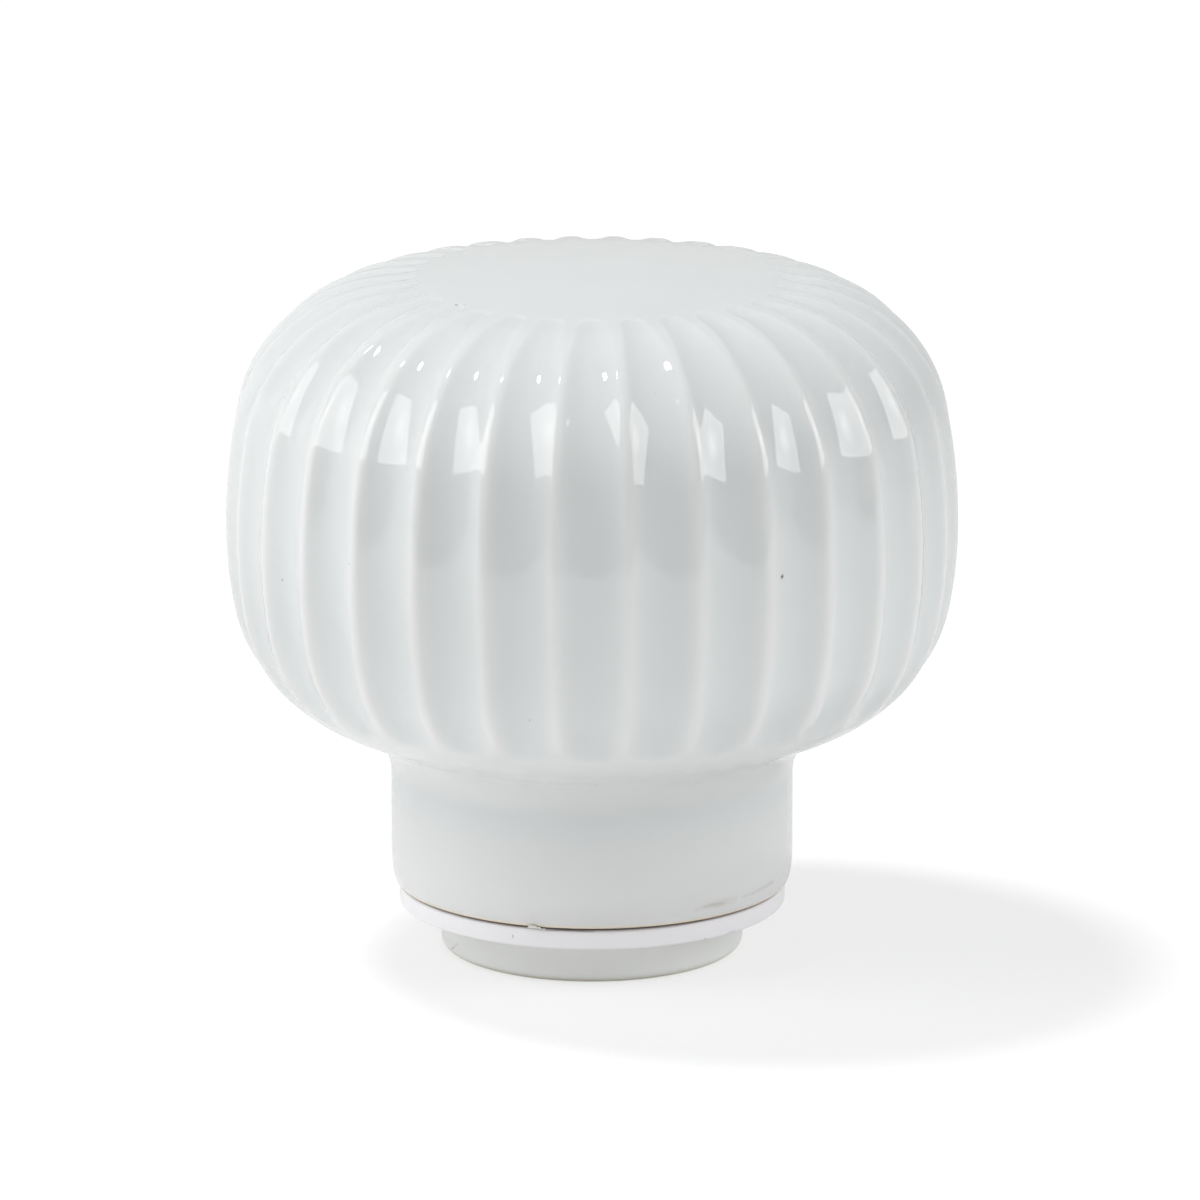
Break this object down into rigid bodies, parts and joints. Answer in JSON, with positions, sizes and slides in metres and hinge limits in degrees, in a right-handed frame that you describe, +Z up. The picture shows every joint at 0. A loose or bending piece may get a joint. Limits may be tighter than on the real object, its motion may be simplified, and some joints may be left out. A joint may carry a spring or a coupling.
{
  "type": "porcelain insulator",
  "caption": "Fluted mushroom-shaped white porcelain pin insulator whose hollow head unscrews from a short pin in a collared spigot base; it holds a tied wire off its support.",
  "frame": {"origin": "centre of the foot, on the surface that the spigot stands on", "axes": "+Z up along the axis of the pin thread, towards the crown; a flute hollow faces -Y"},
  "size_m": [0.0946, 0.0946, 0.0902],
  "materials": {
    "glazed_porcelain": "glossy white glaze with a faint green-blue cast, cream on the ridges",
    "matt_porcelain": "satin greenish white porcelain",
    "white_polymer": "satin white with a faint violet cast",
    "clear_nylon": "translucent natural nylon",
    "ivory_nylon": "moulded ivory nylon",
    "cement": "grey Portland cement grout",
    "edge_seal": "black bituminous sealing compound",
    "thimble_zinc": "cast zinc alloy, dull grey",
    "zinc_plated_steel": "turned steel, zinc plated",
    "spring_steel": "tempered spring steel, darkened",
    "red_fibre": "red vulcanised fibre"
  },
  "bodies": {
    "base": {"base_spigot": "matt_porcelain", "collar_ring": "white_polymer", "lower_fibre_washer": "red_fibre", "spindle": "zinc_plated_steel", "upper_fibre_washer": "red_fibre", "flat_washer": "zinc_plated_steel", "lock_washer": "spring_steel", "lock_nut": "zinc_plated_steel", "pin_thread_head": "ivory_nylon"},
    "bush": {"slip_bush": "clear_nylon"},
    "head": {"porcelain_head": "glazed_porcelain", "neck_cement": "cement", "cement_edge_seal": "edge_seal", "thread_thimble": "thimble_zinc"}
  },
  "joints": [
    {"name": "head_lift", "type": "slide", "parent": "base", "child": "bush", "axis": [0, 0, 1], "range_m": [0, 0.0191]},
    {"name": "head_turn", "type": "hinge", "parent": "bush", "child": "head", "pos_m": [0, 0, 0.012], "axis": [0, 0, 1], "range_deg": [0, 1080]}
  ],
  "couplings": [
    {"joint": "head_lift", "follows": "head_turn", "m_per_rad": 0.0010106}
  ]
}
